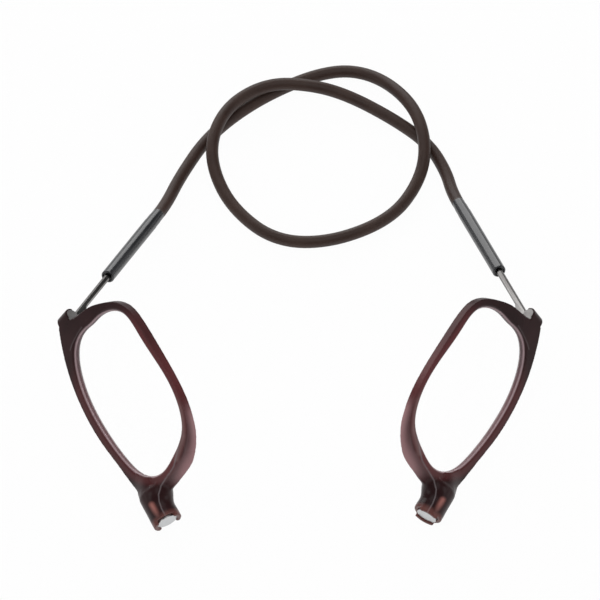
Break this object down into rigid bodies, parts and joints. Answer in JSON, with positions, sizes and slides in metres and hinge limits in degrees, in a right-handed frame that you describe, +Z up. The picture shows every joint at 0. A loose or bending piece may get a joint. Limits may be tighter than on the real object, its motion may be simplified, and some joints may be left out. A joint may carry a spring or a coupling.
{
  "type": "magnetic bridge reading glasses",
  "caption": "Half-eye reading glasses in two halves that join at a magnetic bridge, on telescoping sleeve arms with a rubber cord behind the neck.",
  "frame": {"origin": "on the table, under the middle of the halves and sleeves as they lie", "axes": "+X from the left half to the right half in the picture, +Y from the bridge ends back to the neck cord, +Z up"},
  "size_m": [0.1384, 0.1686, 0.0414],
  "materials": {
    "frame plastic": "dark burgundy translucent plastic, satin",
    "lens": "clear",
    "magnet": "nickel-plated disc",
    "hinge steel": "satin",
    "arm steel": "satin",
    "bush plastic": "black",
    "sleeve plastic": "slate satin",
    "cord rubber": "dark brown, matte"
  },
  "bodies": {
    "headband": {"neck_cord": "cord rubber", "sleeve_left": "sleeve plastic", "sleeve_bush_left": "bush plastic", "cord_joiner_left": "bush plastic", "sleeve_right": "sleeve plastic", "sleeve_bush_right": "bush plastic", "cord_joiner_right": "bush plastic"},
    "arm_left": {"temple_arm_left": "arm steel", "arm_stop_left": "bush plastic"},
    "front_left": {"rim_left": "frame plastic", "lens_left": "lens", "bridge_magnet_left": "magnet", "hinge_leaf_left": "hinge steel", "hinge_screw_left": "hinge steel"},
    "arm_right": {"temple_arm_right": "arm steel", "arm_stop_right": "bush plastic"},
    "front_right": {"rim_right": "frame plastic", "lens_right": "lens", "bridge_magnet_right": "magnet", "hinge_leaf_right": "hinge steel", "hinge_screw_right": "hinge steel"}
  },
  "joints": [
    {"name": "left_arm_slide", "type": "slide", "parent": "headband", "child": "arm_left", "axis": [0.4082, 0.8676, -0.2839], "range_m": [-0.0055, 0.014]},
    {"name": "left_front_hinge", "type": "hinge", "parent": "arm_left", "child": "front_left", "pos_m": [-0.06602, 0.00165, 0.02146], "axis": [0.502, 0.0464, 0.8636], "range_deg": [-24, 78]},
    {"name": "right_arm_slide", "type": "slide", "parent": "headband", "child": "arm_right", "axis": [-0.3285, 0.9092, -0.2558], "range_m": [-0.0055, 0.014]},
    {"name": "right_front_hinge", "type": "hinge", "parent": "arm_right", "child": "front_right", "pos_m": [0.06605, 0.00289, 0.02018], "axis": [0.4814, -0.0718, -0.8736], "range_deg": [-19, 83]}
  ]
}
